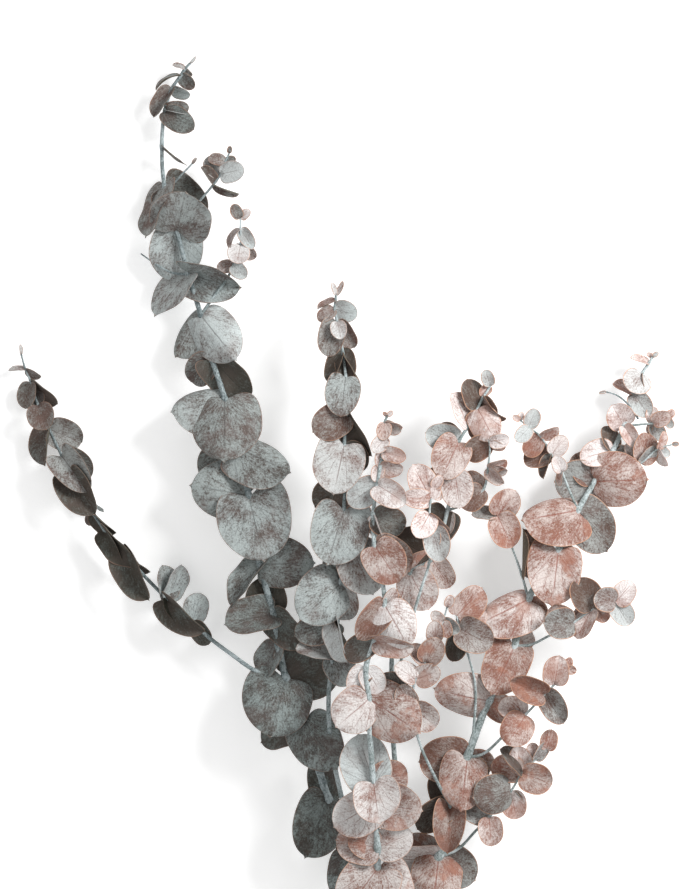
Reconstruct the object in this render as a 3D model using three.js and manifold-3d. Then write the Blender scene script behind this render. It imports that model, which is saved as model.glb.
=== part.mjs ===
// A cut branch of round-leaved eucalyptus that lies on a surface: a forked woody stem, its side twigs and the
// stalkless leaves that sit along them in opposite pairs. Millimetres, +Z up, +Y from the cut end to the tips.
import * as THREE from 'three';
import { mergeVertices } from 'three/addons/utils/BufferGeometryUtils.js';
import Module from 'manifold-3d';

const wasm = await Module();
wasm.setup();

// Driving dimensions, in millimetres
const BLADE_THICKNESS = 0.8;
const GAP = 0.3; // clear space between two pieces that touch on the real branch
const COLLAR_WALL = 0.9; // the joint that carries a pair of leaves round its stem
const COLLAR_LENGTH = 2.4;
const STEM_SIDES = 5;
const OWN_NODE_LENGTH = 33; // a pair whose longest leaf reaches this is a piece of its own
const SMALLEST_LEAF = 18; // shorter leaves are too fine to be made here
const LEAF_STEP = 1.6; // how far each further leaf of one joint lies below the one before
const SETTLE = 3; // how softly a leaf that meets the surface bends flat along it
const SMOOTHING = [0.15, 0.2, 0.25, 0.1, 0.05]; // corners closer than this are joined, the first way that works
const GRID = 0.01; // every corner of a finished piece lies on a grid this fine

// Leaf outline: how near the base it is widest and how square it is, with the rows of corners along its length
const WIDEST = { young: 0.85, grown: 0.7 };
const SQUARENESS = 2.3;
const NECK_WIDTH = 0.7;
const STATIONS = [0, 0.12, 0.5, 0.94];
const LARGE_LEAF = 30; // a shorter leaf is one flat blade
const YOUNG_WIDTH = 0.72; // width over length of the smallest leaves; it grows to 1 at FULL_LENGTH
const FULL_LENGTH = 26;

// Degrees that the left and the right half of a leaf stand up from flat, for each form that a leaf takes
const FORMS = {
  flat: [6, 6],
  cupped: [19, 17],
  domed: [-17, -15],
  draped: [-43, -41],
  folded: [41, 41],
  rolled: [-62, 6],
  turned: [6, -62],
  arched: [15, 15],
};

// Leaf and stem colours run from the green shoots (0) to the pink ones (1)
const GREEN_LEAF = new THREE.Color(0.36, 0.4, 0.38);
const PINK_LEAF = new THREE.Color(0.69, 0.54, 0.49);
const STEM_COLOUR = new THREE.Color(0.6, 0.66, 0.68);

// Each shoot: name, diameter at its base and at its tip, tint, and its points from base to tip.
// A point is x, y, z and the leaves that grow there. A leaf is its length, its heading round +Z from +X, its rise
// towards +Z, its roll about its midrib, and then, where they are not the plain ones, its form and its width over
// the usual one.
const SHOOTS = [
  ['main_stem', 7.0, 1.6, 0.75, [
    [0, 0, 4.5], [2, 30, 11], [16, 62, 22],
    [41, 91, 34, [40, 262, 20, 0, 'domed', 0.95], [30, 328, 10, 0, 'flat', 1.05], [34, 182, 0, -35],
     [28, 160, -22, 0]],
    [49, 128, 38, [33, 266, 20, 0, 'folded', 0.92], [28, 215, 0, 10, 'folded'], [26, 105, -22, 0]],
    [61, 162, 40, [37, 262, 15, 0, 'domed', 0.95], [34, 188, -12, 0, 'cupped', 1.05], [20, 340, -10, 0],
     [20, 315, 0, 20]],
    [76, 202, 40, [40, 166, 14, -15, 'domed', 0.85], [22, 330, -10, 0]],
    [86, 221, 40],
    [94, 240, 39, [38, 243, 18, 0, 'flat', 0.88], [18, 30, -30, 0]],
    [104, 273, 37, [42, 207, 15, 0, 'turned'], [20, 300, -20, 0]],
    [125, 307, 35, [39, 262, 12, 0, 'flat'], [22, 310, -8, 0]],
    [139, 335, 33, [41, 190, 14, 0, 'turned', 1.12], [35, 306, 5, 0, 'flat', 0.97]],
    [151, 355, 30, [37, 2, 16, 0, 'domed', 1.1], [28, 180, -6, 0, 'flat', 1.1], [24, 125, -14, 0]],
    [164, 377, 27, [24, 196, 4, 15, 'cupped', 0.9], [18, 108, -10, 30], [18, 330, -30, 0]],
    [172, 394, 23, [19, 300, 20, 0, 'folded', 0.85], [20, 122, 30, 0, 'cupped', 1.15]],
    [179, 417, 20, [20, 303, 15, 0, 'cupped', 0.9], [16, 155, 0, 50]],
    [185, 431, 18, [18, 235, 30, 0, 'flat', 1.3], [19, 285, 0, 70, 'arched']],
    [190, 438, 17, [14, 163, 5, 60]],
    [193, 443, 16, [5, 40, 10, 0], [5, 150, 10, 0]]]],
  ['left_leader', 6.0, 1.6, 0.0, [
    [0, 38, 14], [-12, 66, 20],
    [-20, 91, 24, [34, 262, -15, 0, 'flat', 0.9], [26, 95, -25, 0, 'flat', 0.9]],
    [-36, 131, 29, [42, 246, 10, 0, 'flat', 0.92], [32, 103, -20, 0, 'flat', 0.72]],
    [-45, 160, 32],
    [-53, 188, 33, [42, 306, 20, 0, 'domed', 0.92], [37, 209, -20, 30, 'flat', 0.8]],
    [-66, 217, 34, [42, 254, 16, 0, 'domed', 1.25], [40, 12, -12, 0, 'flat']],
    [-71, 240, 34, [26, 240, -15, 40], [28, 330, -25, 0]],
    [-75, 262, 34, [34, 192, 10, 35], [32, 315, 15, 20, 'cupped', 0.8], [27, 112, -5, 0, 'flat', 1.1]],
    [-84, 297, 34, [38, 2, 8, 0, 'domed'], [36, 236, 10, 40, 'folded', 0.75]],
    [-92, 345, 33, [47, 283, 14, 0, 'flat', 1.12], [41, 170, 8, 0, 'domed', 1.1]],
    [-101, 379, 32, [42, 336, 12, 0, 'rolled', 1.1], [36, 228, -22, 0, 'flat', 0.95]],
    [-109, 413, 31, [44, 270, 12, 0, 'domed', 1.18], [38, 194, 10, 0, 'turned', 1.2]],
    [-118, 441, 29, [38, 314, -12, 20, 'cupped', 0.8], [24, 225, -25, 0]],
    [-126, 472, 27, [41, 308, 14, 0, 'draped'], [34, 238, -6, 5, 'turned']],
    [-135, 501, 24, [37, 232, 5, 54, 'flat'], [38, 346, 8, 25, 'folded']],
    [-143, 531, 21, [34, 76, 38, 0, 'flat', 1.32], [35, 264, -8, 0, 'flat', 1.08]],
    [-152, 563, 18, [38, 250, 10, 62, 'flat', 0.95], [36, 320, -12, 0, 'flat', 0.95]],
    [-154, 592, 16, [22, 322, 0, 84, 'flat', 0.5]],
    [-152, 617, 14, [25, 327, 8, 0, 'flat', 0.72], [18, 8, 15, 0, 'cupped', 0.8],
     [18, 348, 25, 45, 'folded', 0.7]],
    [-147, 633, 13, [24, 238, 0, 30, 'folded', 0.75], [14, 340, 10, 40, 'cupped', 0.9]],
    [-141, 642, 12, [20, 210, 0, 76, 'arched', 0.7], [13, 318, 5, 20]],
    [-138, 647, 12, [9, 165, 10, 50], [7, 320, 0, 40]],
    [-134, 651, 12, [6, 50, 10, 30, 'folded', 0.7]]]],
  ['low_left_shoot', 3.2, 1.2, 0.05, [
    [-66, 217, 34], [-85, 221, 32], [-105, 234, 29], [-120, 245, 26],
    [-132, 256, 24, [20, 305, -10, 20, 'flat', 0.8], [21, 74, -5, 10, 'flat', 0.95]],
    [-150, 272, 21, [36, 320, 15, 35, 'folded', 0.8], [28, 300, 0, 70, 'folded', 0.7],
     [24, 98, 5, 45, 'cupped', 0.95], [26, 68, 5, 50, 'cupped', 0.9]],
    [-180, 303, 18, [36, 300, 12, 25, 'folded', 0.85], [22, 325, -15, 40, 'folded', 0.6]],
    [-194, 320, 17, [34, 316, 8, 35, 'folded', 0.75], [30, 300, -5, 60, 'cupped', 0.8]],
    [-203, 333, 16, [22, 318, 0, 45, 'folded', 0.8], [10, 250, -10, 0]],
    [-219, 359, 15, [34, 304, 16, 10, 'folded', 0.95], [34, 312, -8, 78, 'flat', 0.6]],
    [-225, 373, 14, [34, 310, 18, 0, 'folded', 0.9], [26, 318, -16, 0]],
    [-234, 392, 13, [25, 337, -10, 10], [26, 264, 0, 45, 'folded']],
    [-242, 409, 12, [20, 290, 20, 0, 'cupped', 1.1], [16, 110, -15, 0]],
    [-247, 425, 11, [19, 258, 0, 30], [24, 320, 0, 52]],
    [-251, 434, 10, [12, 183, 0, 65], [12, 335, 0, 50]],
    [-254, 445, 10, [7, 95, 10, 50, 'cupped', 0.7]]]],
  ['centre_leader', 3.6, 1.2, 0.25, [
    [-12, 66, 20], [-17, 90, 30], [-26, 130, 38], [-34, 170, 42], [-36, 203, 44],
    [-33, 234, 47, [26, 170, 0, 55], [24, 300, 10, 0]],
    [-30, 258, 50, [30, 283, 18, 45, 'folded', 0.8], [31, 200, -5, 0, 'cupped', 0.8],
     [32, 297, 0, 60, 'folded', 0.8]],
    [-28, 284, 52, [37, 222, 12, 0, 'domed', 1.1], [26, 285, -5, 20]],
    [-19, 308, 54, [34, 293, 12, 0, 'flat'], [26, 225, -20, 0]],
    [-25, 336, 54, [40, 252, 12, 0, 'flat', 1.05], [24, 310, -15, 0]],
    [-24, 354, 53, [27, 218, -5, 0, 'flat'], [20, 300, -20, 0]],
    [-25, 381, 52, [36, 258, 15, 0, 'flat'], [24, 305, -20, 0]],
    [-23, 402, 50, [27, 207, 8, 0, 'flat', 0.95], [33, 300, 0, 35, 'folded', 0.8]],
    [-24, 428, 47, [29, 262, 18, 0, 'flat', 0.86], [24, 95, -28, 0, 'cupped', 0.7]],
    [-26, 445, 44, [23, 250, -5, 40, 'folded', 0.8], [22, 300, 0, 50, 'folded', 0.8]],
    [-30, 467, 41, [14, 282, 22, 0], [26, 255, 12, 10, 'cupped', 0.8], [22, 304, -10, 20, 'cupped', 0.75]],
    [-32, 476, 38, [14, 215, 0, 20], [17, 345, 10, 10, 'flat']],
    [-31, 482, 36, [14, 205, 0, 65]],
    [-31, 486, 34, [9, 108, 10, 20, 'cupped', 0.6], [11, 62, 10, 20, 'folded', 0.55]],
    [-30, 491, 32]]],
  ['front_leader', 5.0, 1.4, 0.6, [
    [1, 45, 15], [-2, 66, 42],
    [-2, 87, 58, [40, 232, 12, 0, 'flat'], [42, 288, 20, 0, 'domed']],
    [-2, 102, 64, [29, 172, -8, 0], [26, 22, 4, 0], [22, 160, 14, 0]],
    [-4, 133, 68, [32, 209, 4, 0, 'flat'], [33, 350, 5, 0, 'flat']],
    [-5, 148, 71, [29, 279, 22, 0, 'cupped', 1.2], [34, 108, -10, 0, 'flat', 1.05], [26, 12, -22, 0]],
    [-7, 178, 75],
    [-8, 206, 77, [30, 220, 15, 0, 'domed', 1.1], [42, 328, 14, 0, 'domed'], [30, 20, -20, 0]],
    [-10, 227, 76, [20, 300, 0, 0, 'flat', 0.95], [22, 248, 0, 0, 'flat', 0.9]],
    [-4, 246, 74, [28, 352, 12, 25, 'folded', 0.8], [24, 215, -10, 20, 'cupped', 0.9]],
    [3, 270, 72, [33, 301, 14, 0, 'domed'], [30, 232, 10, 0, 'folded', 0.9], [14, 60, 10, 30]],
    [-4, 311, 67, [30, 305, 12, 0, 'flat'], [30, 325, -8, 0]],
    [-5, 332, 65, [24, 340, -10, 0], [18, 290, 0, 60]],
    [-2, 353, 63, [25, 328, 22, 0, 'cupped', 0.82], [24, 213, -4, 10, 'flat', 0.9]],
    [0, 366, 61, [16, 350, -5, 30], [12, 250, 15, 0]],
    [2, 376, 59, [17, 342, 15, 0, 'cupped', 0.8], [12, 260, 15, 0]],
    [4, 386, 57, [14, 230, 10, 0]],
    [3, 396, 55, [13, 265, 20, 0], [13, 345, 0, 50], [13, 330, 0, 30]],
    [5, 401, 54, [5, 40, 10, 0], [4, 140, 10, 0]]]],
  ['right_centre_leader', 4.0, 1.2, 0.7, [
    [16, 62, 22], [16, 95, 30], [12, 140, 36], [8, 200, 42], [10, 250, 46],
    [21, 291, 48, [28, 298, 12, 0, 'flat'], [26, 20, -20, 0]],
    [36, 301, 48, [24, 302, -12, 0, 'cupped', 0.85], [32, 150, -28, 0]],
    [47, 335, 48, [30, 230, -18, 0], [18, 262, -5, 20]],
    [52, 362, 48, [26, 278, 12, 0, 'flat', 0.9], [20, 200, -20, 0]],
    [55, 383, 47, [30, 243, 18, 0, 'flat', 0.9], [24, 165, 2, 0, 'cupped', 0.9],
     [18, 135, -8, 20, 'flat', 0.9]],
    [61, 393, 46, [26, 114, -2, 46], [24, 10, -20, 0]],
    [68, 406, 45, [26, 298, 18, 0, 'domed', 0.9], [22, 110, -5, 30, 'flat', 0.9]],
    [72, 414, 43, [22, 316, 0, 66, 'arched', 0.8], [16, 300, -10, 30]],
    [77, 422, 41, [12, 108, 10, 0], [10, 225, 10, 0], [11, 95, 0, 60]],
    [77, 428, 40]]],
  ['upper_left_twig', 2.2, 1.0, 0.45, [
    [-126, 472, 27], [-116, 486, 29], [-107, 498, 30],
    [-103, 507, 31, [14, 315, 20, 0], [12, 195, 10, 0]],
    [-98, 521, 31, [15, 262, 25, 0, 'flat', 1.25], [14, 320, -10, 30], [8, 220, 0, 0]],
    [-98, 532, 31, [16, 245, 0, 70, 'arched'], [17, 305, 15, 0, 'cupped', 0.7]],
    [-98, 540, 30, [11, 120, 10, 0], [9, 40, 10, 0], [6, 90, 30, 0]]]],
  ['left_bud_twig', 1.6, 1.0, 0.0, [
    [-152, 563, 18], [-146, 565, 20], [-140, 571, 22],
    [-132, 579, 24, [5, 50, 10, 0, 'folded', 0.8]]]],
  ['left_tip_twig', 2.0, 1.0, 0.1, [
    [-143, 531, 21], [-136, 541, 24], [-128, 551, 26],
    [-117, 564, 27, [15, 125, 0, 40, 'folded'], [19, 340, 0, 60, 'folded', 0.6]],
    [-112, 571, 27, [18, 10, 18, 0], [16, 130, -10, 0]],
    [-109, 580, 26, [12, 170, 0, 20], [8, 20, 0, 0]],
    [-106, 586, 26, [5, 80, 10, 0]]]],
  ['left_bare_twig', 1.8, 1.0, 0.0, [
    [-135, 501, 24], [-146, 502, 21], [-156, 507, 18], [-169, 516, 14]]],
  ['centre_right_twig', 2.0, 1.0, 0.75, [
    [47, 335, 48], [60, 340, 50],
    [72, 350, 52, [20, 222, -5, 0, 'flat'], [18, 150, -20, 0]],
    [75, 365, 54, [14, 20, 10, 45], [16, 315, 15, 30, 'folded'], [14, 350, 10, 45]],
    [76, 383, 54, [14, 10, 10, 20], [12, 340, 5, 45], [20, 215, -10, 0]],
    [72, 392, 53]]],
  ['front_right_twig', 2.4, 1.0, 0.85, [
    [8, 200, 42], [18, 245, 56], [28, 280, 63], [34, 300, 66],
    [36, 323, 68, [24, 284, 12, 0, 'cupped', 0.85], [15, 275, 18, 20]],
    [34, 333, 68, [20, 240, 22, 0], [18, 320, 0, 55]],
    [35, 343, 67, [27, 117, -4, 0, 'flat', 0.76], [20, 175, 8, 0, 'cupped', 0.8]],
    [37, 351, 66, [10, 60, 10, 0], [9, 120, 10, 0], [10, 215, 15, 0], [10, 300, 10, 0]]]],
  ['inner_front_twig', 2.2, 1.0, 0.6, [
    [49, 128, 38], [38, 150, 56], [27, 175, 68],
    [22, 200, 74, [18, 120, 10, 0], [22, 320, -10, 0]],
    [24, 219, 76, [18, 145, 15, 30], [19, 20, 15, 0]],
    [31, 231, 77, [20, 65, 15, 0], [16, 135, 0, 30]],
    [37, 246, 77, [15, 85, 18, 0]],
    [43, 259, 75, [11, 140, 18, 0], [12, 290, 10, 0], [14, 330, 10, 20]],
    [46, 269, 73, [9, 70, 10, 0]]]],
  ['inner_right_twig', 2.0, 1.0, 0.75, [
    [65, 175, 41], [66, 215, 52],
    [55, 253, 56, [26, 332, 14, 0], [24, 258, -12, 0, 'cupped', 0.7]],
    [53, 262, 56, [26, 48, 0, 20], [10, 70, 0, 30], [22, 5, -10, 0]]]],
  ['right_upper_twig', 2.0, 1.0, 0.8, [
    [139, 335, 33], [133, 348, 37],
    [127, 362, 40, [13, 115, 20, 0], [10, 265, 0, 60]],
    [120, 374, 42, [16, 55, 5, 0], [18, 250, 5, 50, 'folded', 0.8], [20, 195, -10, 20]],
    [112, 387, 42, [14, 25, 10, 45], [17, 235, -5, 0]],
    [104, 393, 42, [14, 228, 15, 0], [14, 70, 5, 0]],
    [98, 398, 41, [6, 150, 0, 0], [6, 80, 0, 0]]]],
  ['right_tip_twig', 1.8, 1.0, 0.8, [
    [172, 394, 23], [182, 395, 27],
    [192, 396, 29, [14, 30, 18, 0], [12, 95, -10, 0], [14, 300, -10, 0], [8, 250, -5, 40]],
    [201, 400, 29, [8, 40, -5, 0], [9, 300, -10, 0]]]],
  ['dark_bud_twig', 1.4, 0.9, 0.1, [
    [182, 399, 25], [174, 410, 27], [166, 416, 28],
    [159, 418, 28, [5, 190, 0, 0, 'folded', 0.8]]]],
  ['right_side_twig', 1.8, 1.0, 0.8, [
    [164, 377, 27], [174, 367, 31],
    [183, 368, 33, [22, 75, -14, 20], [16, 50, 10, 40], [18, 110, -10, 0]],
    [195, 378, 34, [13, 75, 10, 50], [14, 300, 5, 60], [10, 330, 0, 0]],
    [205, 381, 34, [5, 5, 0, 0]]]],
  ['right_middle_twig', 2.2, 1.0, 0.75, [
    [94, 240, 39], [105, 241, 43], [117, 247, 46],
    [135, 257, 48, [22, 182, 14, 0, 'cupped', 1.12], [20, 160, -14, 0]],
    [148, 266, 49, [24, 118, -10, 0], [23, 242, 8, 40], [14, 330, -10, 0]],
    [164, 271, 49, [16, 165, 10, 0, 'cupped', 1.35], [19, 50, 10, 0], [19, 300, 10, 0]]]],
  ['right_inner_twig', 2.0, 1.0, 0.75, [
    [104, 273, 37], [99, 290, 41, [32, 88, -6, 60, 'folded', 0.8]], [91, 312, 44],
    [82, 331, 46, [24, 295, 10, 0], [22, 55, 10, 0], [18, 178, 0, 50]]]],
  ['right_low_twig', 2.2, 1.0, 0.85, [
    [61, 162, 40], [72, 165, 45], [86, 178, 50],
    [101, 193, 54, [25, 236, 18, 0, 'domed'], [20, 160, -12, 20]],
    [114, 207, 55, [26, 158, 10, 0, 'folded', 0.95], [24, 305, 10, 0, 'folded']],
    [121, 214, 54, [21, 80, 10, 0]],
    [128, 225, 52, [9, 60, 0, 20], [9, 350, 10, 0]]]],
  ['bottom_right_twig', 2.2, 1.0, 0.8, [
    [41, 91, 34], [55, 98, 38], [66, 110, 42],
    [76, 121, 46, [20, 274, 12, 0], [20, 158, -6, 0]],
    [91, 139, 48, [27, 188, 12, 0, 'domed', 1.1], [20, 282, -6, 0], [16, 300, -12, 30]],
    [99, 152, 48, [22, 340, 10, 0, 'cupped', 1.1], [23, 133, 10, 55], [22, 165, -10, 10], [19, 100, 8, 0]],
    [108, 161, 47, [15, 60, 5, 40], [12, 100, -10, 0]],
    [116, 168, 46, [15, 75, 8, 0]]]],
];

const radians = THREE.MathUtils.degToRad;

// A closed solid from an index and corner positions, with corners that lie together joined
function solidOf(geometry) {
  const merged = mergeVertices(geometry);
  return new wasm.Manifold(new wasm.Mesh({
    numProp: 3,
    vertProperties: Float32Array.from(merged.getAttribute('position').array),
    triVerts: Uint32Array.from(merged.index.array),
  }));
}

// A closed solid from corner points and triangles, turned the right way out
function solid(corners, triangles) {
  const geometry = new THREE.BufferGeometry();
  geometry.setAttribute('position', new THREE.Float32BufferAttribute(corners.flatMap((p) => p.toArray()), 3));
  geometry.setIndex(triangles.flat());
  const body = solidOf(geometry);
  if (body.volume() > 0) return body;
  geometry.setIndex(triangles.flatMap(([a, b, c]) => [a, c, b]));
  return solidOf(geometry);
}

// Triangles that join equal rings of corners one after the other and close both ends with a strip
function skin(ringCount, ringSize, endStrip) {
  const triangles = [];
  for (let ring = 0; ring + 1 < ringCount; ring += 1) {
    for (let side = 0; side < ringSize; side += 1) {
      const here = ring * ringSize + side;
      const beside = ring * ringSize + ((side + 1) % ringSize);
      triangles.push([here, beside, beside + ringSize], [here, beside + ringSize, here + ringSize]);
    }
  }
  const last = (ringCount - 1) * ringSize;
  for (const [a, b, c] of endStrip) triangles.push([a, c, b], [last + a, last + b, last + c]);
  return triangles;
}

// A tapered round stem along a smooth curve
function stemSolid(curve, radiusAt, steps, extra) {
  const corners = [];
  const up = new THREE.Vector3(0, 0, 1);
  for (let step = 0; step <= steps; step += 1) {
    const along = step / steps;
    const centre = curve.getPoint(along);
    const side = curve.getTangent(along).cross(up).normalize();
    const lift = side.clone().cross(curve.getTangent(along));
    for (let k = 0; k < STEM_SIDES; k += 1) {
      const turn = (k / STEM_SIDES) * 2 * Math.PI;
      const radius = radiusAt(along) + extra;
      corners.push(centre.clone()
        .addScaledVector(side, radius * Math.cos(turn))
        .addScaledVector(lift, radius * Math.sin(turn)));
    }
  }
  const fan = [];
  for (let k = 1; k + 1 < STEM_SIDES; k += 1) fan.push([0, k, k + 1]);
  return solid(corners, skin(steps + 1, STEM_SIDES, fan));
}

// The frame of a leaf: along its midrib, across it, and out of its upper face
function leafFrame(heading, rise, roll) {
  const turn = new THREE.Quaternion().setFromAxisAngle(new THREE.Vector3(0, 0, 1), radians(heading));
  const tilt = new THREE.Quaternion().setFromAxisAngle(new THREE.Vector3(0, 1, 0), -radians(rise));
  const spin = new THREE.Quaternion().setFromAxisAngle(new THREE.Vector3(1, 0, 0), radians(roll));
  turn.multiply(tilt).multiply(spin);
  return {
    along: new THREE.Vector3(1, 0, 0).applyQuaternion(turn),
    across: new THREE.Vector3(0, 1, 0).applyQuaternion(turn),
    out: new THREE.Vector3(0, 0, 1).applyQuaternion(turn),
  };
}

// Height above the surface of a point that would hang at this height, had the surface not been there
function settle(height) {
  if (height >= SETTLE) return height;
  return height <= -SETTLE ? 0 : (height + SETTLE) ** 2 / (4 * SETTLE);
}

// One leaf: a narrow neck at the middle of its stem, then two flat halves that meet in a V along the midrib
function leafSolid(place, leaf, order, extra) {
  const [length, heading, rise, roll, form = 'cupped', widthRatio = 1] = leaf;
  const { along, across, out } = leafFrame(heading, rise, roll);
  const grown = YOUNG_WIDTH + (1 - YOUNG_WIDTH) * Math.min(1, length / FULL_LENGTH);
  const halfWidth = 0.5 * length * widthRatio * grown;
  const half = 0.5 * BLADE_THICKNESS + extra;
  const large = length >= LARGE_LEAF;
  const [left, right] = large ? FORMS[form].map(radians) : [0, 0];
  const widest = large ? WIDEST.grown : WIDEST.young;
  const columns = large ? [-1, 0, 1] : [-1, 1];
  const leftNormal = out.clone().multiplyScalar(Math.cos(left)).addScaledVector(across, -Math.sin(left));
  const rightNormal = out.clone().multiplyScalar(Math.cos(right)).addScaledVector(across, Math.sin(right));
  const ridge = leftNormal.clone().add(rightNormal).divideScalar(1 + leftNormal.dot(rightNormal));
  const base = place.clone();
  base.z -= order * LEAF_STEP;

  function point(station, v, face) {
    const neck = station === 0;
    const roundness = Math.sqrt(1 - Math.abs(2 * station ** widest - 1) ** SQUARENESS);
    const reach = (neck ? NECK_WIDTH : halfWidth * roundness) + extra;
    const s = length * station + (neck ? -extra : extra * (2 * station - 1));
    const lean = v > 0 ? left : right;
    const corner = (neck ? place : base).clone()
      .addScaledVector(along, s)
      .addScaledVector(across, reach * v * Math.cos(lean))
      .addScaledVector(out, reach * Math.abs(v) * Math.sin(lean));
    corner.z = settle(corner.z) + 0.5 * BLADE_THICKNESS;
    if (v === 0) return corner.addScaledVector(ridge, face * half);
    return corner.addScaledVector(v > 0 ? leftNormal : rightNormal, face * half);
  }

  const corners = [];
  for (const station of STATIONS) {
    for (const v of columns) corners.push(point(station, v, 1));
    for (const v of [...columns].reverse()) corners.push(point(station, v, -1));
  }
  const strip = large ? [[0, 1, 5], [1, 4, 5], [1, 2, 4], [2, 3, 4]] : [[0, 1, 3], [1, 2, 3]];
  return solid(corners, skin(STATIONS.length, 2 * columns.length, strip));
}

// The ring round a stem that carries a pair of leaves
function collarSolid(centre, tangent, radius, extra) {
  const start = centre.clone().addScaledVector(tangent, -0.5 * COLLAR_LENGTH - extra);
  const end = centre.clone().addScaledVector(tangent, 0.5 * COLLAR_LENGTH + extra);
  return stemSolid(new THREE.LineCurve3(start, end), () => radius + GAP + COLLAR_WALL, 1, extra);
}

// Every piece of the branch as a recipe: a name, a place, a colour and the solids that it is joined from
function shootPieces([name, baseDiameter, tipDiameter, tint, points]) {
  const places = points.map(([x, y, z]) => new THREE.Vector3(x, y, z));
  const curve = new THREE.CatmullRomCurve3(places, false, 'centripetal');
  const radiusAt = (along) => 0.5 * (tipDiameter + (baseDiameter - tipDiameter) * (1 - along) ** 0.9);
  const leafColour = GREEN_LEAF.clone().lerp(PINK_LEAF, tint);
  const steps = 2 * (places.length - 1);
  const stem = { name, place: places[0], colour: STEM_COLOUR, parts: [] };
  stem.parts.push((extra) => stemSolid(curve, radiusAt, steps, extra));
  const pieces = [stem];
  points.forEach(([, , , ...leaves], index) => {
    const longest = Math.max(0, ...leaves.map(([length]) => length));
    const blades = leaves
      .map((leaf, order) => (extra) => leafSolid(places[index], leaf, order, extra))
      .filter((_, order) => leaves[order][0] >= SMALLEST_LEAF);
    if (longest < OWN_NODE_LENGTH) {
      stem.parts.push(...blades);
      return;
    }
    const along = index / (places.length - 1);
    const collar = (extra) => collarSolid(places[index], curve.getTangent(along), radiusAt(along), extra);
    pieces.push({
      name: `${name}_leaves_${index}`, place: places[index], colour: leafColour, parts: [collar, ...blades],
    });
  });
  return pieces;
}

// The solids of a recipe in one, each grown by the extra
function joined(piece, extra) {
  return wasm.Manifold.union(piece.parts.map((part) => part(extra)));
}

function boxesMeet(a, b) {
  return a.min.every((low, axis) => low < b.max[axis]) && b.min.every((low, axis) => low < a.max[axis]);
}

// The largest single body of a solid, with its corners on a fine grid so that none lie almost together
function largestBody(whole) {
  const { vertProperties, triVerts } = whole.getMesh();
  const geometry = new THREE.BufferGeometry();
  const snappedCorners = vertProperties.map((value) => GRID * Math.round(value / GRID));
  geometry.setAttribute('position', new THREE.BufferAttribute(snappedCorners, 3));
  geometry.setIndex(new THREE.BufferAttribute(triVerts, 1));
  const merged = mergeVertices(geometry, 0.1 * GRID);
  const index = [];
  const source = merged.index.array;
  for (let k = 0; k < source.length; k += 3) {
    const [a, b, c] = source.slice(k, k + 3);
    if (a !== b && b !== c && c !== a) index.push(a, b, c);
  }
  const snapped = new wasm.Manifold(new wasm.Mesh({
    numProp: 3,
    vertProperties: merged.getAttribute('position').array,
    triVerts: Uint32Array.from(index),
  }));
  return snapped.decompose().reduce((best, body) => (body.volume() > best.volume() ? body : best));
}

// Whether a closed solid meets itself along an edge, where it would not be one plain surface
function pinched(body) {
  const { vertProperties, triVerts } = body.getMesh();
  const seen = new Set();
  const key = (corner) => vertProperties.slice(3 * corner, 3 * corner + 3).map((v) => Math.round(v / GRID)).join();
  for (let k = 0; k < triVerts.length; k += 3) {
    const [a, b, c] = Array.from(triVerts.slice(k, k + 3), key);
    for (const edge of [`${a} ${b}`, `${b} ${c}`, `${c} ${a}`]) {
      if (seen.has(edge)) return true;
      seen.add(edge);
    }
  }
  return false;
}

// A cut solid as one clean body
function finished(cut) {
  const plain = cut.asOriginal();
  for (const closeness of SMOOTHING) {
    const body = largestBody(plain.simplify(closeness));
    if (!pinched(body)) return body;
  }
  throw new Error('a piece meets itself along an edge');
}

// Stems come first, so that leaves give way to them; each piece is then cut clear of every piece before it
const pieces = SHOOTS.flatMap(shootPieces);
const isStem = (piece) => !piece.name.includes('_leaves_');
const recipes = [...pieces.filter(isStem), ...pieces.filter((piece) => !isStem(piece))];

const branch = new THREE.Group();
const placed = [];
for (const piece of recipes) {
  const whole = joined(piece, 0);
  const clearance = joined(piece, GAP);
  const box = whole.boundingBox();
  const before = placed.filter((other) => boxesMeet(box, other.box)).map((other) => other.clearance);
  const cut = before.length ? whole.subtract(wasm.Manifold.union(before)) : whole;
  const body = finished(cut);
  placed.push({ clearance, box: clearance.boundingBox() });

  const { vertProperties, triVerts } = body.getMesh();
  const geometry = new THREE.BufferGeometry();
  geometry.setAttribute('position', new THREE.BufferAttribute(vertProperties, 3));
  geometry.setIndex(new THREE.BufferAttribute(triVerts, 1));
  geometry.translate(-piece.place.x, -piece.place.y, -piece.place.z);
  const material = new THREE.MeshStandardMaterial({ color: piece.colour, roughness: 0.75, metalness: 0 });
  const mesh = new THREE.Mesh(geometry, material);
  mesh.name = piece.name;
  mesh.position.copy(piece.place);
  branch.add(mesh);
}

// The origin is under the middle of the branch, on the surface that it lies on
const bounds = new THREE.Box3().setFromObject(branch);
const centre = bounds.getCenter(new THREE.Vector3());
branch.position.set(-centre.x, -centre.y, -bounds.min.z).divideScalar(GRID).round().multiplyScalar(GRID);

export default branch;
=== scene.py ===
"""A cut branch of round-leaved eucalyptus, lying on a pale surface and seen from above.

The shoots are grown from one plan, in millimetres: where each joint of a stem is, and which leaves it
carries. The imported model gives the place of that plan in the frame, through the main stem's cut end.
"""
import math
import random

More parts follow.
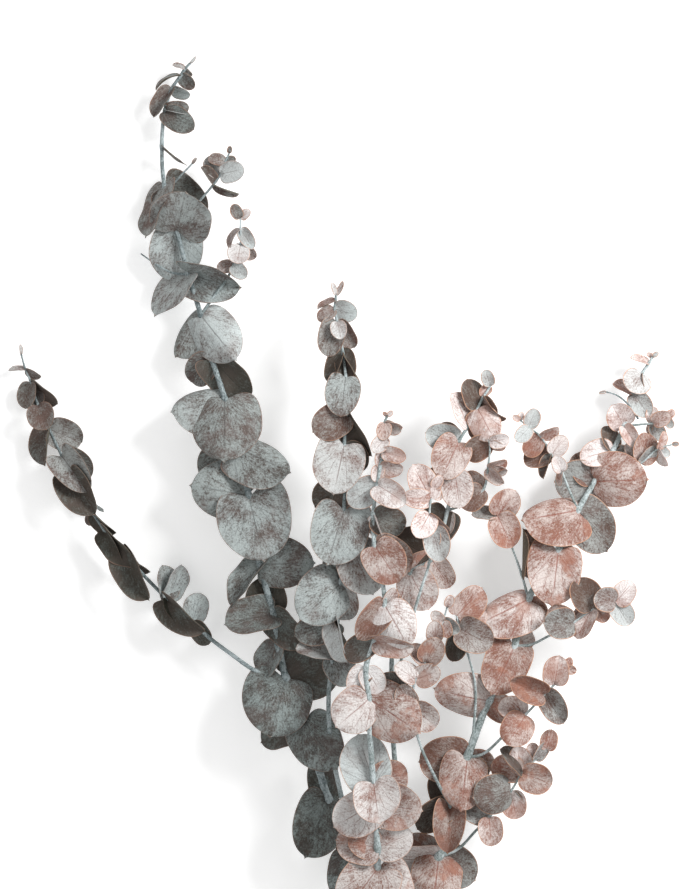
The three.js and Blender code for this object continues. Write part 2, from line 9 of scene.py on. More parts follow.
import bpy
import numpy as np
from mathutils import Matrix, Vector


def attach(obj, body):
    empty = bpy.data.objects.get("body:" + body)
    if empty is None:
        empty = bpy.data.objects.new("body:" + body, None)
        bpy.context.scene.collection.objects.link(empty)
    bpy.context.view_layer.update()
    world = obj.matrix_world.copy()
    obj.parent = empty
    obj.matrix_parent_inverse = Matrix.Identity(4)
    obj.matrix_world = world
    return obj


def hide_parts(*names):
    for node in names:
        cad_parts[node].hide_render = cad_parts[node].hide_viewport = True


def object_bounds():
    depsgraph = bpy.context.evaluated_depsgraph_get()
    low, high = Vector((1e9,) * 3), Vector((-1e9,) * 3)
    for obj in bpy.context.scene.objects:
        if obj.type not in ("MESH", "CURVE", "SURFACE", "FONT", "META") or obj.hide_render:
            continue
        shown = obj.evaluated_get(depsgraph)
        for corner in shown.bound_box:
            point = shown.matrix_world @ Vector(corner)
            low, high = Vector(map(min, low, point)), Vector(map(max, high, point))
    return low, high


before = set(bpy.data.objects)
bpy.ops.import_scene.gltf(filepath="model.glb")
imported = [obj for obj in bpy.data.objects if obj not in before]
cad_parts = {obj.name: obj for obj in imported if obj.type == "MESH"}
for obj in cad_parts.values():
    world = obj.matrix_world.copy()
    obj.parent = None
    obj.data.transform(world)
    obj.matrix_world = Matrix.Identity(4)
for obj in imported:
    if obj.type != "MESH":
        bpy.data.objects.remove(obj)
cad_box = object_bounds()

MM = 0.001
SEED = 5439

# How leaves sit, in millimetres
OWN_NODE_LENGTH = 33  # a joint whose longest leaf reaches this has a node of its own
LEAF_STEP = 1.6       # how much lower each further leaf of a joint lies
PERCH = 1.0           # how far over its stem's skin the upper leaf of a rising pair lies
PERCH_RISE = 5        # degrees: a leaf that rises less than this stays beside its stem
CLEAR_SHARE = 0.15    # the share of its length over which a leaf eases away from its joint
SETTLE = 3.0          # the height under which a leaf starts to bend flat along the surface

# Leaf thickness, in millimetres
BLADE_THICKNESS = 0.5
RIM_THICKNESS = 0.3
RIM_WIDTH = 3.0

# Leaf outline, as shares of its length: a young leaf is round and a full-grown one is heart-shaped
YOUNG_WIDTH = 0.72
FULL_LENGTH = 26           # millimetres, like the next two
YOUNG_LENGTHS = (12, 24)   # between these a leaf loses the paler look of a young one
HEART_LENGTH = (20, 38)    # between these it goes from the first to the second of each pair below
WIDEST = (0.85, 0.66)
LOBE = (0.06, 0.22)
APEX = (0.02, 0.05)
WAVE = (0.012, 0.03)
SQUARENESS = 2.3
NARROWEST = 0.02
LOPSIDED = 0.07
UNEVEN_EDGE = 0.025
SICKLE = 0.05
BASE_GAP = 0.004           # where a leaf's grid starts

# Rows and columns of a leaf's grid, and the length from which a leaf has the large one
LARGE_GRID = (25, 19)
SMALL_GRID = (13, 9)
LARGE_LEAF = 17

# Degrees: the V along the midrib, the further curl of the left and of the right half, and the droop
# lengthwise
FORMS = {
    "flat": (2, 8, 8, 8),
    "cupped": (8, 22, 18, 12),
    "domed": (-4, -26, -22, 28),
    "draped": (-16, -34, -30, 22),
    "folded": (30, 22, 22, 10),
    "rolled": (0, -125, 12, 10),
    "turned": (0, 12, -125, 10),
    "arched": (8, 14, 14, 62),
}
PLAIN_LEAF = ("cupped", 1.0, 0.0)

TIP_BLUSH = 0.3  # how much pinker the leaves at a shoot's tip are than those at its base

STEM_SIDES = 14
STEM_STEP = 2.5
STEM_TAPER = 0.9
STEM_UNEVENNESS = 0.03
JOINT_SWELLING = 0.28
SWELLING_REACH = 1.6
CUT_END_DEPTH = 4  # how far from the foot of the CAD stem the corners of its cut end are looked for

# The camera looks straight down at this point of the plan and sees this much of the branch
LENS = 135.0
SENSOR = 36.0
VIEW_POINT = (-21, 381, 40)
VIEW_HEIGHT = 622

# Metres, and strengths
CAMERA_REACH = 10
FLOOR_HALF = 5.0
FLOOR_GLOW = 0.34
SKY_STRENGTH = 0.5

# Leaf colours, on a green shoot and on a pink one
BARE_SKIN = ("45413c", "8c5c4a")
DULL_BLOOM = ("7d8785", "c9b6ae")
PALE_BLOOM = ("b8c2c2", "f3ecea")
SPECKS = ("3a3433", "5d4640")
STAINS = ("7a6b68", "a0756a")
CRACKS = ("3f4645", "7c5a50")
VEINS = ("3a403f", "94503f")
# the colour dark-toned leaves go towards: partly their own darker colour, partly painted shade
DARK_LEAF_AND_SHADE = ("4a463b", "4b4239")
RIM = ("a08272", "d6a384")
RUST = "a46e57"
UNDER_DEEP = ("3b3a30", "4a3d31")
UNDER_LIGHT = ("686a60", "85725f")
UNDER_BARE = ("7f8a8a", "a89893")
UNDER_BLOOM = ("b3bdbf", "d6d2d4")
UNDER_VEINS = ("6d7472", "94776b")

# Bark colours, on a green shoot and on a pink one
BARK_WAX = ("a5b0b2", "d2dcde")
BARK_WORN = ("687375", "8b9794")
BARK_SPECKS = ("2f3638", "424a4c")
BARK_STREAK = "6f6258"

PAPER = ("f4f4f4", "fafafa")

# Patterns, as repeats in a metre, and the veins as repeats across the fan and along a leaf
WOBBLE_SCALE = 110.0
GRAIN_SCALE = 780.0
CRACK_SCALE = 620.0
CLOUD_SCALE = 70.0
BLOTCH_SCALE = 42.0
FAN_VEINS = 2.6
SIDE_VEINS = 7.0
BARK_SPECK_SCALE = 800.0
BARK_CLOUD_SCALE = 90.0

# Each shoot: name, diameter at its base and at its tip, tint from green (0) to pink (1), and its points
# from base to tip. A point is x, y, z and the leaves that grow there. A leaf is its length, its heading
# round +Z from +X, its rise towards +Z, its roll about its midrib, and then, where they aren't those of a
# plain leaf, its form, its width and its tone from dark (-1) to pale (1).
# A dark tone stands partly for a leaf's own darker colour and partly for painted shade.
SHOOTS = [
  ["main_stem", 7.0, 1.6, 0.75, [
    [0, 0, 4.5], [2, 30, 11], [16, 62, 22],
    [41, 91, 34, [40, 262, 20, 0, "domed", 0.95, 0.1], [30, 328, 10, 0, "flat", 1.05],
     [34, 182, 0, -35, "cupped", 1.0, 0.1], [28, 160, -22, 0, "cupped", 1.0, 0.3]],
    [49, 128, 38, [33, 266, 20, 0, "folded", 0.92, -0.3], [28, 215, 0, 10, "folded", 1.0, -0.6],
     [26, 105, -22, 0, "cupped", 1.0, -0.8]],
    [61, 162, 40, [37, 262, 15, 0, "domed", 0.95, 0.2], [34, 188, -12, 0, "cupped", 1.05, -0.5],
     [20, 340, -10, 0, "cupped", 1.0, -0.4], [20, 315, 0, 20]],
    [76, 202, 40, [40, 166, 14, -15, "domed", 0.85, 0.1], [22, 330, -10, 0, "cupped", 1.0, -0.5]],
    [86, 221, 40],
    [94, 240, 39, [38, 243, 18, 0, "flat", 0.88, 0.1], [18, 30, -30, 0]],
    [104, 273, 37, [42, 207, 15, 0, "turned", 1.0, -0.1], [20, 300, -20, 0]],
    [125, 307, 35, [39, 262, 12, 0, "flat", 1.0], [22, 310, -8, 0]],
    [139, 335, 33, [41, 190, 14, 0, "turned", 1.12, 0.1], [35, 306, 5, 0, "flat", 0.97, -0.2]],
    [151, 355, 30, [37, 2, 16, 0, "domed", 1.1, -0.2], [28, 180, -6, 0, "flat", 1.1, -0.1],
     [24, 125, -14, 0, "cupped", 1.0, -0.7]],
    [164, 377, 27, [24, 196, 4, 15, "cupped", 0.9, 0.6], [18, 108, -10, 30, "cupped", 1.0, -0.7],
     [18, 330, -30, 0]],
    [172, 394, 23, [19, 300, 20, 0, "folded", 0.85, 0.5], [20, 122, 30, 0, "cupped", 1.15, 0.5]],
    [179, 417, 20, [20, 303, 15, 0, "cupped", 0.9, 0.5], [16, 155, 0, 50, "cupped", 1.0, -0.4]],
    [185, 431, 18, [18, 235, 30, 0, "flat", 1.3, 0.4], [19, 285, 0, 70, "arched", 1.0, -0.6]],
    [190, 438, 17, [14, 163, 5, 60]],
    [193, 443, 16, [5, 40, 10, 0], [5, 150, 10, 0]]]],
  ["left_leader", 6.0, 1.6, 0.0, [
    [0, 38, 14], [-12, 66, 20],
    [-20, 91, 24, [34, 262, -15, 0, "flat", 0.9, -0.4], [26, 95, -25, 0, "flat", 0.9, -0.7]],
    [-36, 131, 29, [42, 246, 10, 0, "flat", 0.92, 0.0], [32, 103, -20, 0, "flat", 0.72, -0.7]],
    [-45, 160, 32],
    [-53, 188, 33, [42, 306, 20, 0, "domed", 0.92, 0], [37, 209, -20, 30, "flat", 0.8, -0.6]],
    [-66, 217, 34, [42, 254, 16, 0, "domed", 1.25, -0.3], [40, 12, -12, 0, "flat", 1.0, -0.7]],
    [-71, 240, 34, [26, 240, -15, 40], [28, 330, -25, 0]],
    [-75, 262, 34, [34, 192, 10, 35, "cupped", 1.0, -0.3], [32, 315, 15, 20, "cupped", 0.8, -0.5],
     [27, 112, -5, 0, "flat", 1.1, -0.9]],
    [-84, 297, 34, [38, 2, 8, 0, "domed"], [36, 236, 10, 40, "folded", 0.75, 0.3]],
    [-92, 345, 33, [47, 283, 14, 0, "flat", 1.12, -0.1], [41, 170, 8, 0, "domed", 1.1]],
    [-101, 379, 32, [42, 336, 12, 0, "rolled", 1.1, 0.1], [36, 228, -22, 0, "flat", 0.95, -0.5]],
    [-109, 413, 31, [44, 270, 12, 0, "domed", 1.18, 0.2], [38, 194, 10, 0, "turned", 1.2, -0.1]],
    [-118, 441, 29, [38, 314, -12, 20, "cupped", 0.8, -0.7], [24, 225, -25, 0]],
    [-126, 472, 27, [41, 308, 14, 0, "draped", 1.0, 0.6], [34, 238, -6, 5, "turned", 1.0, -0.1]],
    [-135, 501, 24, [37, 232, 5, 54, "flat", 1.0, 0.2], [38, 346, 8, 25, "folded", 1.0, 0.1]],
    [-143, 531, 21, [34, 76, 38, 0, "flat", 1.32, 0.2], [35, 264, -8, 0, "flat", 1.08, 0.3]],
    [-152, 563, 18, [38, 250, 10, 62, "flat", 0.95, 0.1], [36, 320, -12, 0, "flat", 0.95, -0.5]],
    [-154, 592, 16, [22, 322, 0, 84, "flat", 0.5, -0.4]],
    [-152, 617, 14, [25, 327, 8, 0, "flat", 0.72, -0.4], [18, 8, 15, 0, "cupped", 0.8, 0],
     [18, 348, 25, 45, "folded", 0.7, 1.0]],
    [-147, 633, 13, [24, 238, 0, 30, "folded", 0.75, -0.3], [14, 340, 10, 40, "cupped", 0.9, 0]],
    [-141, 642, 12, [20, 210, 0, 76, "arched", 0.7, -0.2], [13, 318, 5, 20, "cupped", 1.0, -0.2]],
    [-138, 647, 12, [9, 165, 10, 50], [7, 320, 0, 40]],
    [-134, 651, 12, [6, 50, 10, 30, "folded", 0.7, 0.8]]]],
  ["low_left_shoot", 3.2, 1.2, 0.05, [
    [-66, 217, 34], [-85, 221, 32], [-105, 234, 29], [-120, 245, 26],
    [-132, 256, 24, [20, 305, -10, 20, "flat", 0.8, -0.8], [21, 74, -5, 10, "flat", 0.95, 0.7]],
    [-150, 272, 21, [36, 320, 15, 35, "folded", 0.8, -0.8], [28, 300, 0, 70, "folded", 0.7, -0.8],
     [24, 98, 5, 45, "cupped", 0.95], [26, 68, 5, 50, "cupped", 0.9, 0.2]],
    [-180, 303, 18, [36, 300, 12, 25, "folded", 0.85, -0.8], [22, 325, -15, 40, "folded", 0.6, -0.8]],
    [-194, 320, 17, [34, 316, 8, 35, "folded", 0.75, -0.8], [30, 300, -5, 60, "cupped", 0.8, -0.8]],
    [-203, 333, 16, [22, 318, 0, 45, "folded", 0.8, -0.8], [10, 250, -10, 0]],
    [-219, 359, 15, [34, 304, 16, 10, "folded", 0.95, -0.8], [34, 312, -8, 78, "flat", 0.6, 0.9]],
    [-225, 373, 14, [34, 310, 18, 0, "folded", 0.9], [26, 318, -16, 0, "cupped", 1, -0.6]],
    [-234, 392, 13, [25, 337, -10, 10, "cupped", 1, -0.3], [26, 264, 0, 45, "folded", 1, -0.8]],
    [-242, 409, 12, [20, 290, 20, 0, "cupped", 1.1], [16, 110, -15, 0]],
    [-247, 425, 11, [19, 258, 0, 30, "cupped", 1, -0.6], [24, 320, 0, 52, "cupped", 1, -0.7]],
    [-251, 434, 10, [12, 183, 0, 65], [12, 335, 0, 50]],
    [-254, 445, 10, [7, 95, 10, 50, "cupped", 0.7, 0.5]]]],
  ["centre_leader", 3.6, 1.2, 0.25, [
    [-12, 66, 20], [-17, 90, 30], [-26, 130, 38], [-34, 170, 42], [-36, 203, 44],
    [-33, 234, 47, [26, 170, 0, 55], [24, 300, 10, 0]],
    [-30, 258, 50, [30, 283, 18, 45, "folded", 0.8, 0.8], [31, 200, -5, 0, "cupped", 0.8, -0.3],
     [32, 297, 0, 60, "folded", 0.8, -0.2]],
    [-28, 284, 52, [37, 222, 12, 0, "domed", 1.1, 0.2], [26, 285, -5, 20]],
    [-19, 308, 54, [34, 293, 12, 0, "flat", 1.0, 0.5], [26, 225, -20, 0]],
    [-25, 336, 54, [40, 252, 12, 0, "flat", 1.05, 0.4], [24, 310, -15, 0, "cupped", 1.0, 0.4]],
    [-24, 354, 53, [27, 218, -5, 0, "flat", 1.0, -0.6], [20, 300, -20, 0]],
    [-25, 381, 52, [36, 258, 15, 0, "flat", 1.0, 0.5], [24, 305, -20, 0, "cupped", 1.0, -0.8]],
    [-23, 402, 50, [27, 207, 8, 0, "flat", 0.95, -0.1], [33, 300, 0, 35, "folded", 0.8, -0.8]],
    [-24, 428, 47, [29, 262, 18, 0, "flat", 0.86, -0.1], [24, 95, -28, 0, "cupped", 0.7, -0.8]],
    [-26, 445, 44, [23, 250, -5, 40, "folded", 0.8, -0.7], [22, 300, 0, 50, "folded", 0.8, -0.8]],
    [-30, 467, 41, [14, 282, 22, 0, "cupped", 1.0, 0.6], [26, 255, 12, 10, "cupped", 0.8, -0.2],
     [22, 304, -10, 20, "cupped", 0.75, -0.4]],
    [-32, 476, 38, [14, 215, 0, 20, "cupped", 1.0, -0.4], [17, 345, 10, 10, "flat", 1.0, 0.7]],
    [-31, 482, 36, [14, 205, 0, 65]],
    [-31, 486, 34, [9, 108, 10, 20, "cupped", 0.6, 0.2], [11, 62, 10, 20, "folded", 0.55, 0.4]],
    [-30, 491, 32]]],
  ["front_leader", 5.0, 1.4, 0.6, [
    [1, 45, 15], [-2, 66, 42],
    [-2, 87, 58, [40, 232, 12, 0, "flat", 1.0, 0.1], [42, 288, 20, 0, "domed", 1.0, 0.3]],
    [-2, 102, 64, [29, 172, -8, 0], [26, 22, 4, 0], [22, 160, 14, 0]],
    [-4, 133, 68, [32, 209, 4, 0, "flat", 1.0, 0.3], [33, 350, 5, 0, "flat", 1.0, 0.3]],
    [-5, 148, 71, [29, 279, 22, 0, "cupped", 1.2, 0.4], [34, 108, -10, 0, "flat", 1.05, 1.0],
     [26, 12, -22, 0, "cupped", 1.0, -0.4]],
    [-7, 178, 75],
    [-8, 206, 77, [30, 220, 15, 0, "domed", 1.1, 0.1], [42, 328, 14, 0, "domed", 1.0, 0],
     [30, 20, -20, 0, "cupped", 1.0, -0.5]],
    [-10, 227, 76, [20, 300, 0, 0, "flat", 0.95, 0.9], [22, 248, 0, 0, "flat", 0.9, 0.9]],
    [-4, 246, 74, [28, 352, 12, 25, "folded", 0.8, 0.2], [24, 215, -10, 20, "cupped", 0.9, -0.4]],
    [3, 270, 72, [33, 301, 14, 0, "domed", 1.0, 0.4], [30, 232, 10, 0, "folded", 0.9, -0.2],
     [14, 60, 10, 30]],
    [-4, 311, 67, [30, 305, 12, 0, "flat"], [30, 325, -8, 0]],
    [-5, 332, 65, [24, 340, -10, 0, "cupped", 1.0, -0.6], [18, 290, 0, 60, "cupped", 1.0, 0.7]],
    [-2, 353, 63, [25, 328, 22, 0, "cupped", 0.82, 0.4], [24, 213, -4, 10, "flat", 0.9, 0.9]],
    [0, 366, 61, [16, 350, -5, 30], [12, 250, 15, 0]],
    [2, 376, 59, [17, 342, 15, 0, "cupped", 0.8, 0.3], [12, 260, 15, 0]],
    [4, 386, 57, [14, 230, 10, 0, "cupped", 1.0, 0.5]],
    [3, 396, 55, [13, 265, 20, 0, "cupped", 1.0, -0.7], [13, 345, 0, 50], [13, 330, 0, 30]],
    [5, 401, 54, [5, 40, 10, 0], [4, 140, 10, 0]]]],
  ["right_centre_leader", 4.0, 1.2, 0.7, [
    [16, 62, 22], [16, 95, 30], [12, 140, 36], [8, 200, 42], [10, 250, 46],
    [21, 291, 48, [28, 298, 12, 0, "flat", 1.0, 0.3], [26, 20, -20, 0, "cupped", 1.0, -0.5]],
    [36, 301, 48, [24, 302, -12, 0, "cupped", 0.85, -0.3], [32, 150, -28, 0, "cupped", 1.0, -0.9]],
    [47, 335, 48, [30, 230, -18, 0, "cupped", 1.0, -0.9], [18, 262, -5, 20]],
    [52, 362, 48, [26, 278, 12, 0, "flat", 0.9, 0.3], [20, 200, -20, 0]],
    [55, 383, 47, [30, 243, 18, 0, "flat", 0.9, 0.3], [24, 165, 2, 0, "cupped", 0.9, 0.4],
     [18, 135, -8, 20, "flat", 0.9, -0.9]],
    [61, 393, 46, [26, 114, -2, 46, "cupped", 1.0, 0.3], [24, 10, -20, 0, "cupped", 1.0, -0.8]],
    [68, 406, 45, [26, 298, 18, 0, "domed", 0.9, 0.3], [22, 110, -5, 30, "flat", 0.9, -0.9]],
    [72, 414, 43, [22, 316, 0, 66, "arched", 0.8, -0.8], [16, 300, -10, 30, "cupped", 1.0, -0.7]],
    [77, 422, 41, [12, 108, 10, 0], [10, 225, 10, 0], [11, 95, 0, 60]],
    [77, 428, 40]]],
  ["upper_left_twig", 2.2, 1.0, 0.45, [
    [-126, 472, 27], [-116, 486, 29], [-107, 498, 30],
    [-103, 507, 31, [14, 315, 20, 0, "cupped", 1.0, 0.8], [12, 195, 10, 0, "cupped", 1.0, 0.2]],
    [-98, 521, 31, [15, 262, 25, 0, "flat", 1.25, 1.0], [14, 320, -10, 30, "cupped", 1.0, 0.2],
     [8, 220, 0, 0]],
    [-98, 532, 31, [16, 245, 0, 70, "arched"], [17, 305, 15, 0, "cupped", 0.7, 1.0]],
    [-98, 540, 30, [11, 120, 10, 0, "cupped", 1.0, -0.2], [9, 40, 10, 0, "cupped", 1.0, 0.2],
     [6, 90, 30, 0]]]],
  ["left_bud_twig", 1.6, 1.0, 0.0, [
    [-152, 563, 18], [-146, 565, 20], [-140, 571, 22],
    [-132, 579, 24, [5, 50, 10, 0, "folded", 0.8]]]],
  ["left_tip_twig", 2.0, 1.0, 0.1, [
    [-143, 531, 21], [-136, 541, 24], [-128, 551, 26],
    [-117, 564, 27, [15, 125, 0, 40, "folded", 1.0, -0.5], [19, 340, 0, 60, "folded", 0.6, -0.3]],
    [-112, 571, 27, [18, 10, 18, 0, "cupped", 1.0, 0.8], [16, 130, -10, 0, "cupped", 1.0, 0.3]],
    [-109, 580, 26, [12, 170, 0, 20], [8, 20, 0, 0]],
    [-106, 586, 26, [5, 80, 10, 0]]]],
  ["left_bare_twig", 1.8, 1.0, 0.0, [
    [-135, 501, 24], [-146, 502, 21], [-156, 507, 18], [-169, 516, 14]]],
  ["centre_right_twig", 2.0, 1.0, 0.75, [
    [47, 335, 48], [60, 340, 50],
    [72, 350, 52, [20, 222, -5, 0, "flat", 1.0, -0.7], [18, 150, -20, 0, "cupped", 1.0, -0.7]],
    [75, 365, 54, [14, 20, 10, 45], [16, 315, 15, 30, "folded"], [14, 350, 10, 45]],
    [76, 383, 54, [14, 10, 10, 20, "cupped", 1.0, 0.4], [12, 340, 5, 45],
     [20, 215, -10, 0, "cupped", 1.0, -0.9]],
    [72, 392, 53]]],
  ["front_right_twig", 2.4, 1.0, 0.85, [
    [8, 200, 42], [18, 245, 56], [28, 280, 63], [34, 300, 66],
    [36, 323, 68, [24, 284, 12, 0, "cupped", 0.85, 0.3], [15, 275, 18, 20]],
    [34, 333, 68, [20, 240, 22, 0, "cupped", 1.0, 0.3], [18, 320, 0, 55]],
    [35, 343, 67, [27, 117, -4, 0, "flat", 0.76, 0.3], [20, 175, 8, 0, "cupped", 0.8, 0.4]],
    [37, 351, 66, [10, 60, 10, 0], [9, 120, 10, 0], [10, 215, 15, 0], [10, 300, 10, 0]]]],
  ["inner_front_twig", 2.2, 1.0, 0.6, [
    [49, 128, 38], [38, 150, 56], [27, 175, 68],
    [22, 200, 74, [18, 120, 10, 0], [22, 320, -10, 0]],
    [24, 219, 76, [18, 145, 15, 30], [19, 20, 15, 0]],
    [31, 231, 77, [20, 65, 15, 0], [16, 135, 0, 30]],
    [37, 246, 77, [15, 85, 18, 0]],
    [43, 259, 75, [11, 140, 18, 0], [12, 290, 10, 0], [14, 330, 10, 20]],
    [46, 269, 73, [9, 70, 10, 0]]]],
  ["inner_right_twig", 2.0, 1.0, 0.75, [
    [65, 175, 41], [66, 215, 52],
    [55, 253, 56, [26, 332, 14, 0, "cupped", 1.0, 0.1], [24, 258, -12, 0, "cupped", 0.7, -0.5]],
    [53, 262, 56, [26, 48, 0, 20], [10, 70, 0, 30], [22, 5, -10, 0]]]],
  ["right_upper_twig", 2.0, 1.0, 0.8, [
    [139, 335, 33], [133, 348, 37],
    [127, 362, 40, [13, 115, 20, 0, "cupped", 1.0, 0.7], [10, 265, 0, 60]],
    [120, 374, 42, [16, 55, 5, 0, "cupped", 1.0, 0.3], [18, 250, 5, 50, "folded", 0.8, -0.8],
     [20, 195, -10, 20, "cupped", 1.0, -0.5]],
    [112, 387, 42, [14, 25, 10, 45, "cupped", 1.0, 0.2], [17, 235, -5, 0, "cupped", 1.0, -0.8]],
    [104, 393, 42, [14, 228, 15, 0, "cupped", 1.0, 0.9], [14, 70, 5, 0, "cupped", 1.0, 0.9]],
    [98, 398, 41, [6, 150, 0, 0], [6, 80, 0, 0]]]],
  ["right_tip_twig", 1.8, 1.0, 0.8, [
    [172, 394, 23], [182, 395, 27],
    [192, 396, 29, [14, 30, 18, 0], [12, 95, -10, 0], [14, 300, -10, 0], [8, 250, -5, 40]],
    [201, 400, 29, [8, 40, -5, 0], [9, 300, -10, 0]]]],
  ["dark_bud_twig", 1.4, 0.9, 0.1, [
    [182, 399, 25], [174, 410, 27], [166, 416, 28],
    [159, 418, 28, [5, 190, 0, 0, "folded", 0.8]]]],
  ["right_side_twig", 1.8, 1.0, 0.8, [
    [164, 377, 27], [174, 367, 31],
    [183, 368, 33, [22, 75, -14, 20], [16, 50, 10, 40], [18, 110, -10, 0]],
    [195, 378, 34, [13, 75, 10, 50], [14, 300, 5, 60], [10, 330, 0, 0]],
    [205, 381, 34, [5, 5, 0, 0]]]],
  ["right_middle_twig", 2.2, 1.0, 0.75, [
    [94, 240, 39], [105, 241, 43], [117, 247, 46],
    [135, 257, 48, [22, 182, 14, 0, "cupped", 1.12], [20, 160, -14, 0]],
    [148, 266, 49, [24, 118, -10, 0, "cupped", 1.0, -0.7], [23, 242, 8, 40], [14, 330, -10, 0]],
    [164, 271, 49, [16, 165, 10, 0, "cupped", 1.35], [19, 50, 10, 0, "cupped", 1.0, 0.9],
     [19, 300, 10, 0, "cupped", 1.0, 0.8]]]],
  ["right_inner_twig", 2.0, 1.0, 0.75, [
    [104, 273, 37], [99, 290, 41, [32, 88, -6, 60, "folded", 0.8, -0.7]], [91, 312, 44],
    [82, 331, 46, [24, 295, 10, 0], [22, 55, 10, 0], [18, 178, 0, 50]]]],
  ["right_low_twig", 2.2, 1.0, 0.85, [
    [61, 162, 40], [72, 165, 45], [86, 178, 50],
    [101, 193, 54, [25, 236, 18, 0, "domed", 1.0, -0.3], [20, 160, -12, 20]],
    [114, 207, 55, [26, 158, 10, 0, "folded", 0.95, -0.1], [24, 305, 10, 0, "folded", 1.0, 0.1]],
    [121, 214, 54, [21, 80, 10, 0]],
    [128, 225, 52, [9, 60, 0, 20], [9, 350, 10, 0]]]],
  ["bottom_right_twig", 2.2, 1.0, 0.8, [
    [41, 91, 34], [55, 98, 38], [66, 110, 42],
    [76, 121, 46, [20, 274, 12, 0, "cupped", 1.0, -0.2], [20, 158, -6, 0]],
    [91, 139, 48, [27, 188, 12, 0, "domed", 1.1, -0.4], [20, 282, -6, 0, "cupped", 1.0, 0.5],
     [16, 300, -12, 30]],
    [99, 152, 48, [22, 340, 10, 0, "cupped", 1.1], [23, 133, 10, 55, "cupped", 1.0, -0.5],
     [22, 165, -10, 10, "cupped", 1.0, -0.4], [19, 100, 8, 0, "cupped", 1.0, 0.2]],
    [108, 161, 47, [15, 60, 5, 40], [12, 100, -10, 0]],
    [116, 168, 46, [15, 75, 8, 0]]]],
]


# ---------------------------------------------------------------- where the plan lies in the frame

def plan_offset():
    """From the plan to the frame: the middle of the main stem's cut end is the plan's first point."""
    corners = np.array([v.co[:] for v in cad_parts["main_stem"].data.vertices])
    end = corners[corners[:, 1] < corners[:, 1].min() + CUT_END_DEPTH * MM]
    end = np.unique(end.round(6), axis=0)
    main_joints = SHOOTS[0][4]
    return end.mean(axis=0) - np.array(main_joints[0][:3]) * MM


PLAN_OFFSET = plan_offset()


def in_frame(points):
    """Plan millimetres to frame metres."""
    return np.asarray(points, float) * MM + PLAN_OFFSET


# ---------------------------------------------------------------- shapes

def settle(height):
    """Height above the surface of a point that would hang at this height, had the surface not been there."""
    soft = (np.clip(height, -SETTLE, SETTLE) + SETTLE) ** 2 / (4 * SETTLE)
    return np.where(height >= SETTLE, height, soft)


def spun(vector, axis, degrees):
    """A vector turned about a unit axis."""
    angle = math.radians(degrees)
    return (vector * math.cos(angle) + np.cross(axis, vector) * math.sin(angle)
            + axis * np.dot(axis, vector) * (1 - math.cos(angle)))


def leaf_frame(heading, rise, roll):
    """The unit vectors along a leaf's midrib, across it, and out of its upper face."""
    level = np.array([math.cos(math.radians(heading)), math.sin(math.radians(heading)), 0.0])
    across = np.array([-level[1], level[0], 0.0])
    along = spun(level, across, -rise)
    across = spun(across, along, roll)
    return along, across, np.cross(along, across)


def grid_faces(rows, columns):
    """Quads of a closed blade: an upper grid, a lower grid and the rim between them."""
    index = np.arange(rows * columns).reshape(rows, columns)
    under = index + rows * columns
    faces = []
    for i in range(rows - 1):
        for j in range(columns - 1):
            faces.append((index[i, j], index[i + 1, j], index[i + 1, j + 1], index[i, j + 1]))
            faces.append((under[i, j], under[i, j + 1], under[i + 1, j + 1], under[i + 1, j]))
    top = list(index[0, :]) + list(index[1:, -1]) + list(index[-1, -2::-1]) + list(index[-2:0:-1, 0])
    low = [k + rows * columns for k in top]
    for k in range(len(top)):
        after = (k + 1) % len(top)
        faces.append((top[k], top[after], low[after], low[k]))
    return faces


def arc(angle, curl, share):
    """How far out and how far up a strip bends, per unit of its width, up to each share of its width."""
    curl = np.where(np.abs(curl) < 1e-3, 1e-3, curl)
    out = (np.sin(angle + curl * share) - np.sin(angle)) / curl
    up = (np.cos(angle) - np.cos(angle + curl * share)) / curl
    return out, up


